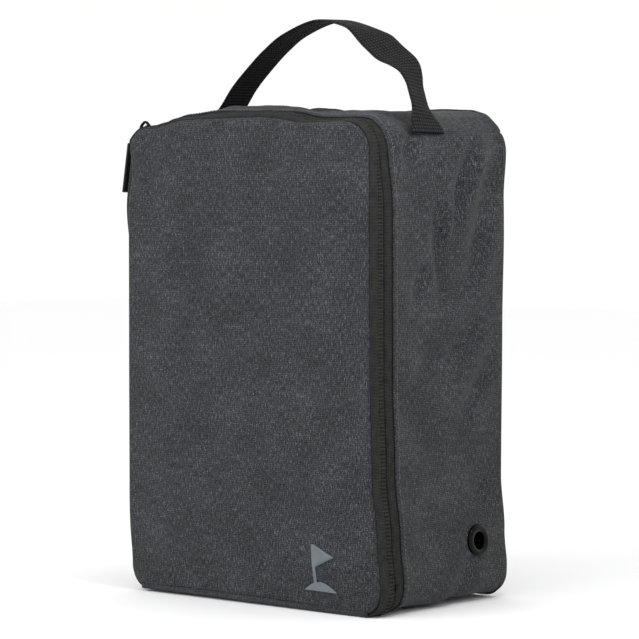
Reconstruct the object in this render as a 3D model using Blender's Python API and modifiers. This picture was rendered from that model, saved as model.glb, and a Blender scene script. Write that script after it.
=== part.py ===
"""Golf shoe bag: a soft case whose front panel is a flap, zipped round three sides and hinged at the base.

The bag stands on its base at z = 0, with its centre at x = y = 0. Its front faces -Y and +X is its right.
Seen from the front, every layer follows one outline: a rectangle with rounded corners, inset by the
depth of the layers outside it. All sizes are in metres.
"""

import math

import bmesh
import bpy
from mathutils import Matrix

# Outside size of the stuffed bag.
WIDTH = 0.240
DEPTH = 0.150
HEIGHT = 0.355
TOP_RADIUS = 0.024
BASE_RADIUS = 0.016
ARC_STEPS = 6

# Layers, from the outside in, and the gap that neighbouring solids keep.
GAP = 0.0003
FABRIC = 0.0012
LINING = 0.0008
FOAM = 0.003
BOARD = 0.002
BINDING = 0.0015
BINDING_WIDTH = 0.008
FRONT_INSET = 0.003

# Zip: two tape halves with a coil sewn inside each, split along one centre line.
ZIP_SETBACK = 0.014
ZIP_SPLIT = 0.0007
TAPE = 0.0008
TAPE_FRONT = 0.0118
TAPE_REAR = 0.0113
COIL = 0.0013
COIL_WIDTH = 0.0022
STOP_SIZE = (0.0008, 0.0060, 0.0040)
STOP_HEIGHT = 0.020

# Sliders and pulls.
SLIDER_LENGTH = 0.009
SLIDER_WIDTH = 0.0085
PLATE = 0.0012
INNER_PLATE_DEPTH = 0.0032
INNER_PLATE = 0.0008
POST = (0.0008, 0.0025)
BRIDGE_WIDTH = 0.0018
BRIDGE_OUTSIDE = (0.0042, 0.0058, 0.0016)
BRIDGE_INSIDE = (0.0031, 0.0048, 0.0010)
PIVOT_OUT = 0.0038
PIVOT_DROP = 0.0018
LINK_LENGTH = 0.018
LINK_HALF_WIDTH = 0.0020
LINK_WIRE = 0.0005
TAB_LENGTH = 0.038
TAB_WIDTH = 0.0085
TAB_THICKNESS = 0.002
TAB_CHAMFER = 0.0006
EYE_CLEARANCE = 0.00035
EYE_WALL = 0.0008
NECK_LENGTH = 0.001
UPPER_SLIDER_TURN = math.radians(48.0)
UPPER_LINK_TURN = math.radians(58.0)
UPPER_TAB_LEAN = math.radians(9.0)
LOWER_SLIDER_HEIGHT = 0.285

# Vent eyelets, one low on each side.
EYELET_Y = 0.040
EYELET_Z = 0.045
EYELET_BORE = 0.0065
EYELET_BARREL = 0.0075
EYELET_FLANGE = 0.0115
EYELET_LENGTH = 0.0042
EYELET_RIM = 0.0015
EYELET_HOLE = 0.0079
DRILL_LENGTH = 0.02
ROUND_STEPS = 20

# Handle: one webbing strap from seam to seam over the top.
HANDLE_Y = -0.010
HANDLE_HINGE_Z = 0.356
HANDLE_SPLIT_Z = 0.384
WEBBING_WIDTH = 0.030
WEBBING = 0.002
HANDLE_ROUTE = [
    (-0.1188, 0.3440), (-0.1098, 0.3543), (-0.0985, 0.3578), (-0.0730, 0.3730), (-0.0370, 0.4065),
    (-0.0100, 0.4235), (0.0200, 0.4298), (0.0465, 0.4245), (0.0695, 0.4120), (0.0930, 0.3925),
    (0.1050, 0.3730), (0.1135, 0.3550), (0.1188, 0.3440),
]
HANDLE_STEPS = 3

# Emblem on the front, low on the right: a flag on a golf green.
EMBLEM_X = 0.068
EMBLEM_Z = 0.015
EMBLEM_WIDTH = 0.030
EMBLEM_HEIGHT = 0.034
EMBLEM_THICKNESS = 0.0004
POLE_WIDTH = 0.0026
POLE_LEFT_OF_CENTRE = 0.0054
MOUND_HEIGHT = 0.007
MOUND_STEPS = 10
PENNANT_FOOT = 0.0176

HALF_WIDTH = WIDTH / 2
FRONT_Y = -DEPTH / 2
BACK_Y = DEPTH / 2
ZIP_Y = FRONT_Y + ZIP_SETBACK
STRIP_FRONT_Y = FRONT_Y + FABRIC + GAP
STRIP_BACK_Y = BACK_Y - FABRIC - GAP
SIDE_FRONT_Y = ZIP_Y + ZIP_SPLIT + TAPE_REAR + GAP
LOW_CORNER_X = HALF_WIDTH - BASE_RADIUS
HIGH_CORNER_X = HALF_WIDTH - TOP_RADIUS
HIGH_CORNER_Z = HEIGHT - TOP_RADIUS
SEAM_ANGLE = 30.0
SEAM_GAP_ANGLE = 1.0
WALL = FABRIC + GAP + LINING
FLAP_HINGE = (0.0, FRONT_Y, 0.001)


def collection(name):
    made = bpy.data.collections.new(name)
    bpy.context.scene.collection.children.link(made)
    return made


def material(name, colour, roughness, metallic=0.0):
    made = bpy.data.materials.new(name)
    made.use_nodes = True
    shader = made.node_tree.nodes["Principled BSDF"]
    shader.inputs["Base Color"].default_value = (*colour, 1.0)
    shader.inputs["Roughness"].default_value = roughness
    shader.inputs["Metallic"].default_value = metallic
    return made


def add(name, data, finish, location=(0.0, 0.0, 0.0)):
    """Link a named part with its material."""
    part = bpy.data.objects.new(name, data)
    part.location = location
    data.materials.append(finish)
    PARTS.objects.link(part)
    return part


def mesh_from(name, build):
    """A mesh that a function has filled in as a bmesh."""
    sheet = bmesh.new()
    build(sheet)
    made = bpy.data.meshes.new(name)
    sheet.to_mesh(made)
    sheet.free()
    return made


def empty(name, location, turn_y=0.0):
    """An axis that moving parts hang on."""
    made = bpy.data.objects.new(name, None)
    made.location = location
    made.rotation_euler = (0.0, turn_y, 0.0)
    PARTS.objects.link(made)
    return made


def hang_on(axis, *parts):
    """Parent unrotated parts to an unrotated axis, leaving them in place."""
    for part in parts:
        part.parent = axis
        part.location = part.location - axis.location


# Outline of the bag seen from the front.

def arc(centre_x, centre_z, radius, start, end, steps=ARC_STEPS):
    angles = [math.radians(start + (end - start) * i / steps) for i in range(steps + 1)]
    return [(centre_x + radius * math.cos(a), centre_z + radius * math.sin(a)) for a in angles]


def corner(index, inset, start=None, end=None):
    """One corner of the outline: 0 lower left, 1 upper left, 2 upper right, 3 lower right."""
    x, z, radius, first, last = [
        (-LOW_CORNER_X, BASE_RADIUS, BASE_RADIUS, 270.0, 180.0),
        (-HIGH_CORNER_X, HIGH_CORNER_Z, TOP_RADIUS, 180.0, 90.0),
        (HIGH_CORNER_X, HIGH_CORNER_Z, TOP_RADIUS, 90.0, 0.0),
        (LOW_CORNER_X, BASE_RADIUS, BASE_RADIUS, 0.0, -90.0),
    ][index]
    return arc(x, z, radius - inset, first if start is None else start, last if end is None else end)


def round_path(inset):
    """Up the left side, over the top and down the right side, with all four corners."""
    return [point for index in range(4) for point in corner(index, inset)]


def top_path(inset):
    """Over the top, from seam to seam."""
    start = 180.0 - SEAM_ANGLE - SEAM_GAP_ANGLE
    return corner(1, inset, start=start) + corner(2, inset, end=180.0 - start)


def left_path(inset):
    """Up the left side, from the base to the seam below the top."""
    return corner(0, inset) + corner(1, inset, end=180.0 - SEAM_ANGLE)


def right_path(inset):
    return [(-x, z) for x, z in reversed(left_path(inset))]


# Makers of the repeated kinds of solid.

def strip(name, path, y_front, y_back, thickness, finish):
    """A sheet that follows a path and runs from front to back, thickened towards the bag's inside."""

    def build(sheet):
        front = [sheet.verts.new((x, y_front, z)) for x, z in path]
        for first, second in zip(front, front[1:]):
            sheet.edges.new((first, second))
        made = bmesh.ops.extrude_edge_only(sheet, edges=sheet.edges[:])
        behind = [v for v in made["geom"] if isinstance(v, bmesh.types.BMVert)]
        bmesh.ops.translate(sheet, verts=behind, vec=(0.0, y_back - y_front, 0.0))
        sheet.normal_update()
        (x0, z0), (x1, z1) = path[:2]
        first_normal = sheet.edges.get(front[:2]).link_faces[0].normal
        if first_normal.z * (x1 - x0) - first_normal.x * (z1 - z0) < 0.0:
            bmesh.ops.reverse_faces(sheet, faces=sheet.faces[:])

    part = add(name, mesh_from(name, build), finish)
    skin = part.modifiers.new("Thickness", "SOLIDIFY")
    skin.thickness = thickness
    skin.offset = -1.0
    skin.use_even_offset = True
    return part


def plate(name, outlines, y_front, thickness, finish):
    """A flat sheet that faces -Y, cut to one or more closed outlines in x and z."""
    curve = bpy.data.curves.new(name, "CURVE")
    curve.dimensions = "2D"
    curve.fill_mode = "BOTH"
    curve.extrude = thickness / 2
    for outline in outlines:
        spline = curve.splines.new("POLY")
        spline.points.add(len(outline) - 1)
        for point, (x, z) in zip(spline.points, outline):
            point.co = (x, z, 0.0, 1.0)
        spline.use_cyclic_u = True
    part = add(name, curve, finish, (0.0, y_front + thickness / 2, 0.0))
    part.rotation_euler = (math.radians(90.0), 0.0, 0.0)
    return part


def box(name, low, high, finish):
    size = [b - a for a, b in zip(low, high)]
    middle = [(a + b) / 2 for a, b in zip(low, high)]

    def build(sheet):
        bmesh.ops.create_cube(sheet, size=1.0)
        bmesh.ops.scale(sheet, vec=size, verts=sheet.verts)

    return add(name, mesh_from(name, build), finish, middle)


def turned(name, profile, location, turn_y, finish):
    """A closed profile of (radius, height) points turned about its own axis, which is then laid along X."""

    def build(sheet):
        ring = [sheet.verts.new((radius, 0.0, height)) for radius, height in profile]
        for first, second in zip(ring, ring[1:] + ring[:1]):
            sheet.edges.new((first, second))

    part = add(name, mesh_from(name, build), finish, location)
    part.rotation_euler = (0.0, turn_y, 0.0)
    screw = part.modifiers.new("Turn", "SCREW")
    screw.steps = ROUND_STEPS
    screw.render_steps = ROUND_STEPS
    screw.merge_threshold = 0.00001
    screw.use_merge_vertices = True
    return part


def as_cutter(part):
    """Take a finished solid off the list of parts, so that a Boolean can use it."""
    PARTS.objects.unlink(part)
    CUTTERS.objects.link(part)
    part.hide_render = True
    part.display_type = "WIRE"
    return part


def boolean(part, tool, operation):
    cut = part.modifiers.new(operation.title(), "BOOLEAN")
    cut.operation = operation
    cut.solver = "EXACT"
    cut.object = tool


def as_mesh(part):
    """Turn a curve part into a mesh part with welded caps."""
    bpy.context.view_layer.update()
    name = part.name
    graph = bpy.context.evaluated_depsgraph_get()
    mesh = bpy.data.meshes.new_from_object(part.evaluated_get(graph))
    sheet = bmesh.new()
    sheet.from_mesh(mesh)
    bmesh.ops.remove_doubles(sheet, verts=sheet.verts, dist=0.000001)
    sheet.to_mesh(mesh)
    sheet.free()
    where = part.matrix_world.copy()
    finish = part.data.materials[0]
    bpy.data.objects.remove(part)
    made = bpy.data.objects.new(name, mesh)
    made.matrix_world = where
    if not mesh.materials:
        mesh.materials.append(finish)
    PARTS.objects.link(made)
    return made


# The case behind the zip.

def side(side_name, path, sign):
    """One side wall, its lining and its vent eyelet with the washer behind it."""
    wall = strip(f"{side_name}_side_panel", path(0.0), SIDE_FRONT_Y, STRIP_BACK_Y, FABRIC, FINISH["heather"])
    lining_depth = FABRIC + GAP
    skin = strip(
        f"{side_name}_side_lining", path(lining_depth), SIDE_FRONT_Y, STRIP_BACK_Y, LINING, FINISH["lining"]
    )
    vent = (sign * HALF_WIDTH, EYELET_Y, EYELET_Z)

    def drill(sheet):
        bmesh.ops.create_cone(
            sheet, cap_ends=True, segments=ROUND_STEPS, radius1=EYELET_HOLE, radius2=EYELET_HOLE,
            depth=DRILL_LENGTH,
        )

    drill_mesh = mesh_from("vent_cutter", drill)
    cutter = as_cutter(add(f"{side_name}_vent_cutter", drill_mesh, FINISH["black_metal"], vent))
    cutter.rotation_euler = (0.0, math.radians(90.0), 0.0)
    boolean(wall, cutter, "DIFFERENCE")
    boolean(skin, cutter, "DIFFERENCE")

    profile = [
        (EYELET_BORE, -EYELET_LENGTH), (EYELET_BORE, EYELET_RIM / 2), (EYELET_BARREL, EYELET_RIM),
        (EYELET_FLANGE - EYELET_RIM, EYELET_RIM), (EYELET_FLANGE, EYELET_RIM / 3), (EYELET_FLANGE, 0.0),
        (EYELET_BARREL, 0.0), (EYELET_BARREL, -EYELET_LENGTH),
    ]
    turned(
        f"vent_eyelet_{side_name}", profile, (sign * (HALF_WIDTH + GAP), EYELET_Y, EYELET_Z),
        sign * math.radians(90.0), FINISH["black_metal"],
    )
    washer = [
        (EYELET_HOLE, -WALL - GAP - PLATE), (EYELET_HOLE, -WALL - GAP),
        (EYELET_FLANGE, -WALL - GAP), (EYELET_FLANGE, -WALL - GAP - PLATE),
    ]
    turned(f"vent_washer_{side_name}", washer, vent, sign * math.radians(90.0), FINISH["black_metal"])


def case():
    plate("back_panel", [round_path(0.0)], BACK_Y - FABRIC, FABRIC, FINISH["heather"])
    inner = [round_path(WALL + GAP)]
    plate("back_foam", inner, STRIP_BACK_Y - FOAM, FOAM, FINISH["foam"])
    plate("back_lining", inner, STRIP_BACK_Y - FOAM - GAP - LINING, LINING, FINISH["lining"])
    strip("top_panel", top_path(0.0), SIDE_FRONT_Y, STRIP_BACK_Y, FABRIC, FINISH["heather"])
    strip("top_lining", top_path(FABRIC + GAP), SIDE_FRONT_Y, STRIP_BACK_Y, LINING, FINISH["lining"])
    side("left", left_path, -1.0)
    side("right", right_path, 1.0)

    base_x = LOW_CORNER_X - GAP
    box("base_panel", (-base_x, STRIP_FRONT_Y, 0.0), (base_x, STRIP_BACK_Y, FABRIC), FINISH["heather"])
    board_z = FABRIC + GAP
    inside_front = STRIP_FRONT_Y + FOAM + GAP + LINING + 2 * GAP
    inside_back = STRIP_BACK_Y - FOAM - LINING - 2 * GAP - BINDING_WIDTH - GAP
    board_top = board_z + BOARD
    box("base_board", (-base_x, inside_front, board_z), (base_x, inside_back, board_top), FINISH["board"])
    cover_z = board_top + GAP
    cover_top = cover_z + LINING
    box("base_lining", (-base_x, inside_front, cover_z), (base_x, inside_back, cover_top), FINISH["lining"])
    seam_back = STRIP_BACK_Y - FOAM - LINING - 2 * GAP
    strip(
        "back_seam_binding", round_path(WALL + GAP), seam_back - BINDING_WIDTH, seam_back, BINDING,
        FINISH["binding"],
    )


# The zip, half on the case and half on the flap.

def zip_half(end, y_front, y_back, coil_front):
    tape = strip(f"zip_tape_{end}", round_path(0.0), y_front, y_back, TAPE, FINISH["tape"])
    coil_depth = TAPE + GAP
    coil = strip(
        f"zip_coil_{end}", round_path(coil_depth), coil_front, coil_front + COIL_WIDTH, COIL, FINISH["coil"]
    )
    return tape, coil


def zip_stops():
    """A stop across the case's tape at the foot of each side."""
    thickness, width, height = STOP_SIZE
    for side_name, sign in (("left", -1.0), ("right", 1.0)):
        outer = sign * (HALF_WIDTH + GAP)
        inner = sign * (HALF_WIDTH + GAP + thickness)
        box(
            f"zip_stop_{side_name}",
            (min(outer, inner), ZIP_Y + ZIP_SPLIT, STOP_HEIGHT - height / 2),
            (max(outer, inner), ZIP_Y + ZIP_SPLIT + width, STOP_HEIGHT + height / 2),
            FINISH["black_metal"],
        )


def arch(foot, half_length, out, chamfer):
    """One line of a bridge, from foot to foot, with chamfered shoulders."""
    return [
        (foot, -half_length), (-out + chamfer, -half_length), (-out, -half_length + chamfer),
        (-out, half_length - chamfer), (-out + chamfer, half_length), (foot, half_length),
    ]


def slider(name, axis, offset_x):
    """Two plates with a post between them and a bridge outside, which faces -X in the axis's own frame."""
    half = SLIDER_LENGTH / 2
    half_width = SLIDER_WIDTH / 2
    metal = FINISH["black_metal"]
    outer = box(name, (-GAP - PLATE, -half_width, -half), (-GAP, half_width, half), metal)
    inner = as_cutter(box(
        f"{name}_inner_plate",
        (INNER_PLATE_DEPTH, -half_width, -half), (INNER_PLATE_DEPTH + INNER_PLATE, half_width, half), metal,
    ))
    width, length = POST
    foot = -GAP - PLATE / 2
    post = as_cutter(box(
        f"{name}_post",
        (foot, -width / 2, half - length), (INNER_PLATE_DEPTH + INNER_PLATE / 2, width / 2, half - PLATE / 2),
        metal,
    ))
    outline = arch(foot, *BRIDGE_OUTSIDE) + arch(foot, *BRIDGE_INSIDE)[::-1]
    bridge = plate(f"{name}_bridge", [outline], -BRIDGE_WIDTH / 2, BRIDGE_WIDTH, metal)
    bridge = as_cutter(as_mesh(bridge))
    pieces = [outer, inner, post, bridge]
    shift = Matrix.Translation((offset_x, 0.0, 0.0))
    for piece in pieces:
        piece.matrix_basis = shift @ piece.matrix_basis
        piece.parent = axis
    for tool in pieces[1:]:
        boolean(outer, tool, "UNION")
    return outer


def pull_link(name, axis, turn):
    """A wire loop through the slider's bridge, which leans away from the axis by the turn."""
    curve = bpy.data.curves.new(name, "CURVE")
    curve.dimensions = "3D"
    curve.bevel_depth = LINK_WIRE
    curve.bevel_resolution = 1
    spline = curve.splines.new("POLY")
    ends = [
        (LINK_HALF_WIDTH, 0.0), (LINK_HALF_WIDTH, -LINK_LENGTH),
        (-LINK_HALF_WIDTH, -LINK_LENGTH), (-LINK_HALF_WIDTH, 0.0),
    ]
    spline.points.add(len(ends) - 1)
    for point, (y, z) in zip(spline.points, ends):
        point.co = (0.0, y, z, 1.0)
    spline.use_cyclic_u = True
    link = add(name, curve, FINISH["black_metal"])
    link.rotation_euler = (0.0, turn, 0.0)
    link.parent = axis
    return link


def pull_tab(name, axis, turn, lean):
    """A moulded tab that hangs from the link's far end by an eye, leaning out from upright by the lean."""
    eye_radius = LINK_WIRE + EYE_CLEARANCE
    outside = eye_radius + EYE_WALL
    neck_foot = -outside - NECK_LENGTH
    eye = arc(0.0, 0.0, outside, 0.0, 180.0) + [(-outside, neck_foot), (outside, neck_foot)]
    hole = arc(0.0, 0.0, eye_radius, 0.0, 330.0, 11)
    half_neck = LINK_HALF_WIDTH - LINK_WIRE - GAP
    neck = as_mesh(plate(f"{name}_neck", [eye, hole], -half_neck, 2 * half_neck, FINISH["pull"]))
    body_top = -LINK_WIRE - EYE_WALL
    tab = box(
        name,
        (-TAB_THICKNESS / 2, -TAB_WIDTH / 2, body_top - TAB_LENGTH),
        (TAB_THICKNESS / 2, TAB_WIDTH / 2, body_top),
        FINISH["pull"],
    )
    soften = tab.modifiers.new("Soft edges", "BEVEL")
    soften.width = TAB_CHAMFER
    soften.segments = 1
    link_end = Matrix.Translation((-LINK_LENGTH * math.sin(turn), 0.0, -LINK_LENGTH * math.cos(turn)))
    for piece in (neck, tab):
        piece.matrix_basis = link_end @ Matrix.Rotation(lean, 4, "Y") @ piece.matrix_basis
        piece.parent = axis
    boolean(tab, as_cutter(neck), "UNION")
    return tab


def zip_fastener():
    front_tape, front_coil = zip_half(
        "front", ZIP_Y - ZIP_SPLIT - TAPE_FRONT + GAP, ZIP_Y - ZIP_SPLIT, ZIP_Y - ZIP_SPLIT - COIL_WIDTH
    )
    zip_half("rear", ZIP_Y + ZIP_SPLIT, ZIP_Y + ZIP_SPLIT + TAPE_REAR, ZIP_Y + ZIP_SPLIT)
    zip_stops()

    round_corner = empty("upper_slider_axis", (-HIGH_CORNER_X, ZIP_Y, HIGH_CORNER_Z), UPPER_SLIDER_TURN)
    slider("upper_slider", round_corner, -TOP_RADIUS)
    down_side = empty("lower_slider_axis", (-HALF_WIDTH, ZIP_Y, LOWER_SLIDER_HEIGHT))
    slider("lower_slider", down_side, 0.0)

    cos, sin = math.cos(UPPER_SLIDER_TURN), math.sin(UPPER_SLIDER_TURN)
    out = TOP_RADIUS + PIVOT_OUT
    upper_pivot = (
        -HIGH_CORNER_X - out * cos - PIVOT_DROP * sin, ZIP_Y, HIGH_CORNER_Z + out * sin - PIVOT_DROP * cos
    )
    lower_pivot = (-HALF_WIDTH - PIVOT_OUT, ZIP_Y, LOWER_SLIDER_HEIGHT - PIVOT_DROP)
    for end, pivot, turn, lean in (
        ("upper", upper_pivot, UPPER_LINK_TURN, UPPER_TAB_LEAN), ("lower", lower_pivot, 0.0, 0.0)
    ):
        axis = empty(f"{end}_pull_axis", pivot)
        pull_link(f"{end}_pull_link", axis, turn)
        pull_tab(f"{end}_pull_tab", axis, turn, lean)
    return front_tape, front_coil


# The flap in front of the zip.

def emblem():
    """A pennant on a pole that stands on a mound, as one outline."""
    left = EMBLEM_X - EMBLEM_WIDTH / 2
    pole_left = EMBLEM_X - POLE_LEFT_OF_CENTRE
    pole_right = pole_left + POLE_WIDTH
    pole_foot = EMBLEM_Z + MOUND_HEIGHT * math.cos(math.radians(25.0))
    top = EMBLEM_Z + EMBLEM_HEIGHT
    flag_low = EMBLEM_Z + PENNANT_FOOT
    hill = []
    for i in range(MOUND_STEPS + 1):
        along = 1.0 - i / MOUND_STEPS
        hill.append((left + EMBLEM_WIDTH * along, EMBLEM_Z + MOUND_HEIGHT * math.sin(math.pi * along)))
    before = [p for p in hill if p[0] > pole_right]
    after = [p for p in hill if p[0] < pole_left]
    standing = [
        (pole_right, pole_foot), (pole_right, flag_low), (left + EMBLEM_WIDTH, (flag_low + top) / 2),
        (pole_right, top), (pole_left, top), (pole_left, pole_foot),
    ]
    outline = before + standing + after
    return plate("emblem", [outline], FRONT_Y - GAP - EMBLEM_THICKNESS, EMBLEM_THICKNESS, FINISH["emblem"])


def flap(zip_parts):
    panel = plate("front_panel", [round_path(FRONT_INSET)], FRONT_Y, FABRIC, FINISH["heather"])
    binding_depth = TAPE + GAP
    inner = [round_path(binding_depth + BINDING + GAP)]
    foam = plate("front_foam", inner, STRIP_FRONT_Y, FOAM, FINISH["foam"])
    lining = plate("front_lining", inner, STRIP_FRONT_Y + FOAM + GAP, LINING, FINISH["lining"])
    binding = strip(
        "front_seam_binding", round_path(binding_depth),
        STRIP_FRONT_Y, STRIP_FRONT_Y + BINDING_WIDTH, BINDING, FINISH["binding"],
    )
    hang_on(empty("flap_axis", FLAP_HINGE), panel, foam, lining, binding, emblem(), *zip_parts)


# The handle.

def between(a, b, c, d, t):
    """A Catmull-Rom curve's value at t on its stretch from b to c."""
    square = 2 * a - 5 * b + 4 * c - d
    cube = 3 * b - a - 3 * c + d
    return 0.5 * (2 * b + (c - a) * t + square * t * t + cube * t ** 3)


def smooth_route(points, steps):
    """A smooth curve through the points, with a number of steps between each two."""
    padded = [points[0]] + points + [points[-1]]
    route = []
    for i in range(1, len(padded) - 2):
        window = padded[i - 1:i + 3]
        for step in range(steps):
            route.append(tuple(between(*values, step / steps) for values in zip(*window)))
    return route + [points[-1]]


def webbing(name, route):
    """A strap that follows a route in x and z, with its width along Y."""

    def build(sheet):
        near = [sheet.verts.new((x, HANDLE_Y - WEBBING_WIDTH / 2, z)) for x, z in route]
        for first, second in zip(near, near[1:]):
            sheet.edges.new((first, second))
        made = bmesh.ops.extrude_edge_only(sheet, edges=sheet.edges[:])
        far = [v for v in made["geom"] if isinstance(v, bmesh.types.BMVert)]
        bmesh.ops.translate(sheet, verts=far, vec=(0.0, WEBBING_WIDTH, 0.0))

    part = add(name, mesh_from(name, build), FINISH["webbing"])
    skin = part.modifiers.new("Thickness", "SOLIDIFY")
    skin.thickness = WEBBING
    skin.offset = 0.0
    skin.use_even_offset = True
    return part


def crossing(inner, outer, z):
    """The point at a height on the straight line between two points."""
    share = (z - inner[1]) / (outer[1] - inner[1])
    return (inner[0] + share * (outer[0] - inner[0]), z)


def handle():
    """The strap in three lengths, cut where the loop starts to swing and its roots only bend."""
    route = smooth_route(HANDLE_ROUTE, HANDLE_STEPS)
    high = [i for i, (x, z) in enumerate(route) if z > HANDLE_SPLIT_Z]
    first, last = high[0], high[-1]
    above, below = HANDLE_SPLIT_Z + GAP, HANDLE_SPLIT_Z - GAP
    left_cut = (route[first - 1], route[first])
    right_cut = (route[last], route[last + 1])
    webbing("handle_root_left", route[:first] + [crossing(*left_cut, below)])
    webbing("handle_root_right", [crossing(*right_cut, below)] + route[last + 1:])
    loop_route = [crossing(*left_cut, above)] + route[first:last + 1] + [crossing(*right_cut, above)]
    loop = webbing("handle_webbing", loop_route)
    hang_on(empty("handle_axis", (0.0, HANDLE_Y, HANDLE_HINGE_Z)), loop)


for old in list(bpy.data.objects):
    bpy.data.objects.remove(old)

PARTS = collection("golf_shoe_bag")
CUTTERS = collection("cutters")
FINISH = {
    "heather": material("heather_fabric", (0.065, 0.066, 0.072), 0.9),
    "lining": material("lining_fabric", (0.02, 0.02, 0.022), 0.8),
    "foam": material("foam", (0.35, 0.35, 0.36), 0.95),
    "board": material("base_board", (0.02, 0.02, 0.02), 0.6),
    "binding": material("binding_tape", (0.015, 0.015, 0.015), 0.85),
    "tape": material("zip_tape", (0.03, 0.03, 0.03), 0.85),
    "coil": material("zip_coil", (0.02, 0.02, 0.02), 0.45),
    "webbing": material("handle_webbing", (0.03, 0.03, 0.03), 0.85),
    "black_metal": material("black_metal", (0.02, 0.02, 0.02), 0.3, 1.0),
    "pull": material("pull_tab", (0.02, 0.018, 0.018), 0.5),
    "emblem": material("emblem_print", (0.12, 0.14, 0.16), 0.6),
}

case()
flap(zip_fastener())
handle()
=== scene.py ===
import math

import bmesh
import bpy
import numpy as np
from mathutils import Matrix, Vector, noise


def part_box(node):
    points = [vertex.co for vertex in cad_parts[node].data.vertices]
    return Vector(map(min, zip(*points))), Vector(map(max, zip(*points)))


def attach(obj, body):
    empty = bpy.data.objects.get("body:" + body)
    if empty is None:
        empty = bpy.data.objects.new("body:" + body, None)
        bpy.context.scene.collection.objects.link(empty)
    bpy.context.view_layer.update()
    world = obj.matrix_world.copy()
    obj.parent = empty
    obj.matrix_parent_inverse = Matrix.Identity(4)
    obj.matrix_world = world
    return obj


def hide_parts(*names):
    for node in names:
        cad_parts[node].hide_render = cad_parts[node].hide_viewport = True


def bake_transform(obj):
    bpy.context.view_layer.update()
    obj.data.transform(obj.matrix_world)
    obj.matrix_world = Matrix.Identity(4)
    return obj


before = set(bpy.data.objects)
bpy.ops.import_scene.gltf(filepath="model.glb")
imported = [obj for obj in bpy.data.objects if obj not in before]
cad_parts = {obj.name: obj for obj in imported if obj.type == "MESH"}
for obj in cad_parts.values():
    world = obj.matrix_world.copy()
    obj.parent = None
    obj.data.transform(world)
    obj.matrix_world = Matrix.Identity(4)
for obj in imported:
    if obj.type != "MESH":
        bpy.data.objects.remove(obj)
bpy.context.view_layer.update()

# Camera: to the right of the front, a little above level.
CAMERA_AZIMUTH = 40.0
CAMERA_ELEVATION = 1.97
CAMERA_DISTANCE = 1.972
CAMERA_LENS = 147.8
CAMERA_TARGET_RIGHT = 0.0036
CAMERA_TARGET_HEIGHT = 0.2061

# The outline that all layers follow, in metres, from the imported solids.
back_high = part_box("back_panel")[1]
front_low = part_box("front_panel")[0]
tape_front_low, tape_front_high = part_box("zip_tape_front")
tape_rear_low, tape_rear_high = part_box("zip_tape_rear")
HALF_WIDTH = back_high.x
HEIGHT = back_high.z
TOP_RADIUS = 0.024
BASE_RADIUS = 0.016
FRONT_Y = front_low.y
BACK_Y = back_high.y
HEM_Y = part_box("right_side_panel")[0].y
ZIP_Y = (tape_front_high.y + tape_rear_low.y) / 2
SEAM_ANGLE = math.radians(30.0)
FABRIC = 0.0012
WALL = 0.0023
TABLE_GAP = 0.0006


# Small tools.

def smooth(low, high, value):
    """0 below low, 1 above high, easing between."""
    t = min(1.0, max(0.0, (value - low) / (high - low)))
    return t * t * (3.0 - 2.0 * t)


def bump(value, centre, width):
    return math.exp(-((value - centre) / width) ** 2)


def ripple(point, scale, seed=0.0):
    """Smooth noise between about -1 and 1, with features of the given size in metres."""
    x, y, z = point
    return noise.noise(Vector((x / scale + seed, y / scale - seed, z / scale + 0.5 * seed)))


def link(name, mesh, body, finish, replaced=(), cloth=None, slumped=True, slot=None):
    """Adds a finished mesh as a piece: its material, body and the CAD nodes it stands for.

    slumped moves it from the plain outline to the stuffed bag's shape. A material is named after its slot. slot is not
    used.
    """
    mesh.name = name
    for vertex in mesh.vertices:
        if slumped:
            vertex.co = slump(vertex.co)
        vertex.co.z = max(vertex.co.z, TABLE_GAP)
    if cloth is not None:
        layer = mesh.attributes.new("cloth", "FLOAT_VECTOR", "POINT")
        layer.data.foreach_set("vector", np.asarray(cloth, np.float32).ravel())
    mesh.materials.append(finish)
    mesh.shade_smooth()
    piece = bpy.data.objects.new(name, mesh)
    bpy.context.scene.collection.objects.link(piece)
    if body:
        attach(piece, body)
    slot or finish.name.split(".")[0]
    if replaced:
        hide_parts(*replaced)
    return piece


def new_mesh(points, faces):
    mesh = bpy.data.meshes.new("mesh")
    mesh.from_pydata(points, [], faces)
    mesh.update()
    return mesh


def grid_mesh(rows, closed=False):
    """A quad sheet through rows of points. closed joins each row's last point to its first."""
    across = len(rows[0])
    faces = []
    for i in range(len(rows) - 1):
        for j in range(across if closed else across - 1):
            k = (j + 1) % across
            faces.append((i * across + j, i * across + k, (i + 1) * across + k, (i + 1) * across + j))
    return new_mesh([tuple(p) for row in rows for p in row], faces)


def reshaped(mesh, *steps):
    """Runs bmesh steps on a mesh."""
    sheet = bmesh.new()
    sheet.from_mesh(mesh)
    for step in steps:
        step(sheet)
    sheet.to_mesh(mesh)
    sheet.free()
    return mesh


def weld(sheet):
    bmesh.ops.remove_doubles(sheet, verts=sheet.verts, dist=1e-6)


def face_out(sheet):
    bmesh.ops.recalc_face_normals(sheet, faces=sheet.faces)


def fill_ends(sheet):
    bmesh.ops.holes_fill(sheet, edges=[e for e in sheet.edges if e.is_boundary])


def ring_mesh(rows):
    """A closed ring through closed rows of points."""
    return reshaped(grid_mesh(rows + [rows[0]], True), weld, face_out)


def wire_faces(base, rings, sides):
    """Faces of a closed wire whose rings of points start at index base."""
    faces = []
    last = base + (rings - 1) * sides
    for start in range(base, last, sides):
        for k in range(sides):
            a, b = start + k, start + (k + 1) % sides
            faces.append((a, b, b + sides, a + sides))
    return faces + [tuple(reversed(range(base, base + sides))), tuple(range(last, last + sides))]


def circle(sides):
    """Cosine and sine at even steps round a circle."""
    return [(math.cos(a), math.sin(a)) for a in (2 * math.pi * k / sides for k in range(sides))]


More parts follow.
